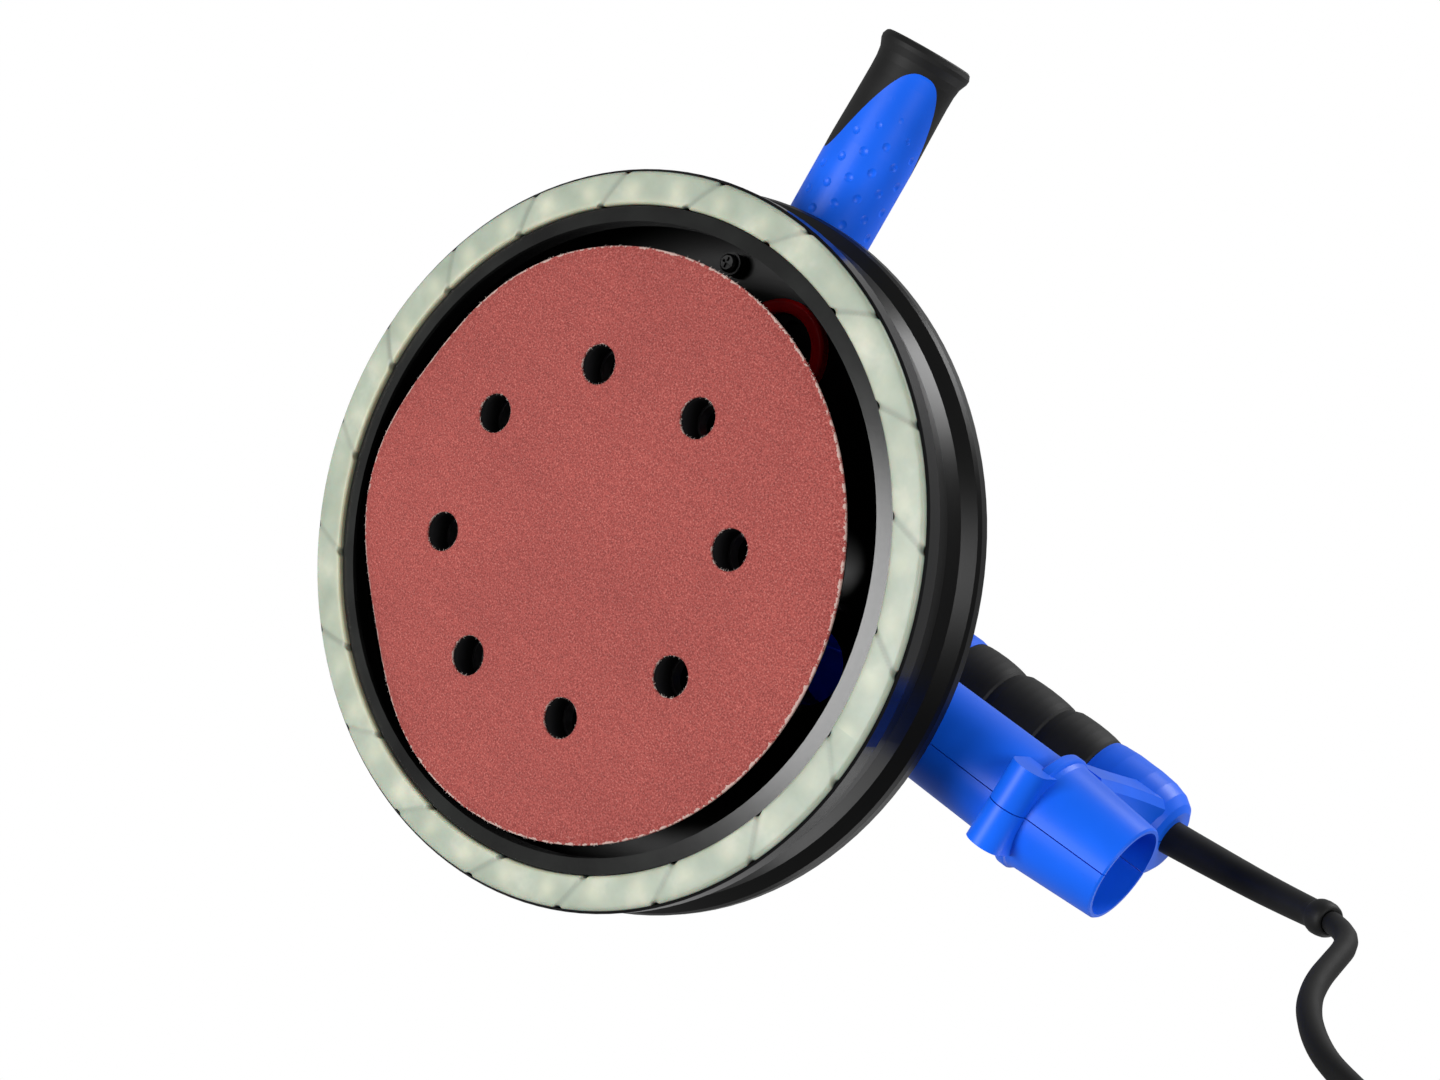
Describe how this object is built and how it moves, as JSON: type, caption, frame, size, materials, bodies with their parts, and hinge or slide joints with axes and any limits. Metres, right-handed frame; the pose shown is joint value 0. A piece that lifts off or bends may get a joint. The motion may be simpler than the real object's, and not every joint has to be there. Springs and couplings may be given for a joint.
{
  "type": "orbital sander",
  "caption": "Hand-held round orbital sander: perforated disc in a lit shroud, vertical motor, rear D-handle over a dust pipe, side handle and mains cord.",
  "frame": {"origin": "where the motor's axis meets the plane of the abrasive face", "axes": "+Z along the motor's axis away from the abrasive face, +X along the rear handle towards the cord, side handle along -Y"},
  "size_m": [0.6062, 0.357, 0.198],
  "materials": {
    "abrasive": "fine grit on a cloth-backed sheet",
    "foam": "closed-cell foam",
    "steel": "machined",
    "zinc": "zinc plated",
    "black_screw": "black oxide",
    "castings": "die cast, satin",
    "pad_metal": "die cast",
    "black_plastic": "fine-grained satin",
    "blue_plastic": "satin moulded nylon",
    "red_plastic": "moulded",
    "black_rubber": "soft overmould",
    "cord_rubber": "cable sheath",
    "translucent": "milky translucent",
    "circuit": "white solder mask",
    "led": "phosphor lens",
    "copper": "enamelled",
    "carbon": "sintered",
    "lamination": "varnished",
    "brass": "turned"
  },
  "bodies": {
    "housing": {"shroud": "black_plastic", "ring_carrier": "black_plastic", "skirt_ring": "translucent", "led_board": "circuit", "leds": "led", "carrier_screws": "black_screw", "bearing_housing": "castings", "flange_screws": "zinc", "lower_bearing": "steel", "upper_bearing": "steel", "motor_housing": "blue_plastic", "stator_core": "lamination", "field_coils": "copper", "brush_holders": "brass", "carbon_brushes": "carbon", "brush_springs": "steel", "brush_caps": "black_plastic", "bearing_bridge": "black_plastic", "top_cap": "black_plastic", "cap_screws": "zinc", "shell_left": "blue_plastic", "shell_right": "blue_plastic", "shell_screws": "zinc", "foot_screws": "zinc", "grip_rubber": "black_rubber", "trigger_spring": "steel", "switch_body": "black_plastic", "dial_pin": "steel", "speed_board": "circuit", "side_handle_core": "blue_plastic", "side_handle_cover": "black_rubber", "side_handle_stud": "zinc", "cord_sleeve": "black_rubber", "cord_tube": "cord_rubber", "cord_coil": "cord_rubber", "cord_tie": "black_plastic", "plug_body": "cord_rubber", "plug_pins": "steel"},
    "rotor": {"eccentric_hub": "steel", "counterweight": "lamination", "pad_bearing": "steel", "armature_shaft": "steel", "armature_core": "lamination", "armature_winding": "copper", "commutator": "copper", "cooling_fan": "black_plastic"},
    "pad": {"abrasive_disc": "abrasive", "foam_pad": "foam", "backing_plate": "pad_metal", "pad_spindle": "steel", "spindle_nut": "zinc"},
    "trigger": {"trigger": "black_plastic"},
    "lock_button": {"lock_button": "red_plastic"},
    "speed_dial": {"speed_dial": "black_plastic"},
    "vent_dial": {"vent_ring": "red_plastic", "vent_shutter": "black_plastic", "vent_knob": "red_plastic"}
  },
  "joints": [
    {"name": "motor_spin", "type": "hinge", "parent": "housing", "child": "rotor", "pos_m": [0, 0, 0.048], "axis": [0, 0, 1], "continuous": true},
    {"name": "pad_spin", "type": "hinge", "parent": "rotor", "child": "pad", "pos_m": [0.00123, 0.00252, 0.03], "axis": [0, 0, 1], "continuous": true},
    {"name": "trigger_pull", "type": "slide", "parent": "housing", "child": "trigger", "axis": [0, 0, 1], "range_m": [0, 0.005], "stiffness_N_per_m": 600, "springref_m": -0.002, "deforming": ["trigger_spring"]},
    {"name": "lock_press", "type": "slide", "parent": "housing", "child": "lock_button", "axis": [0, -1, 0], "range_m": [0, 0.002], "stiffness_N_per_m": 400, "springref_m": -0.002},
    {"name": "speed_turn", "type": "hinge", "parent": "housing", "child": "speed_dial", "pos_m": [0.059, 0, 0.1845], "axis": [0, 1, 0], "range_deg": [0, 270]},
    {"name": "vent_turn", "type": "hinge", "parent": "housing", "child": "vent_dial", "pos_m": [0.007, -0.09, 0.048], "axis": [0, 0, 1], "range_deg": [-60, 0]}
  ]
}
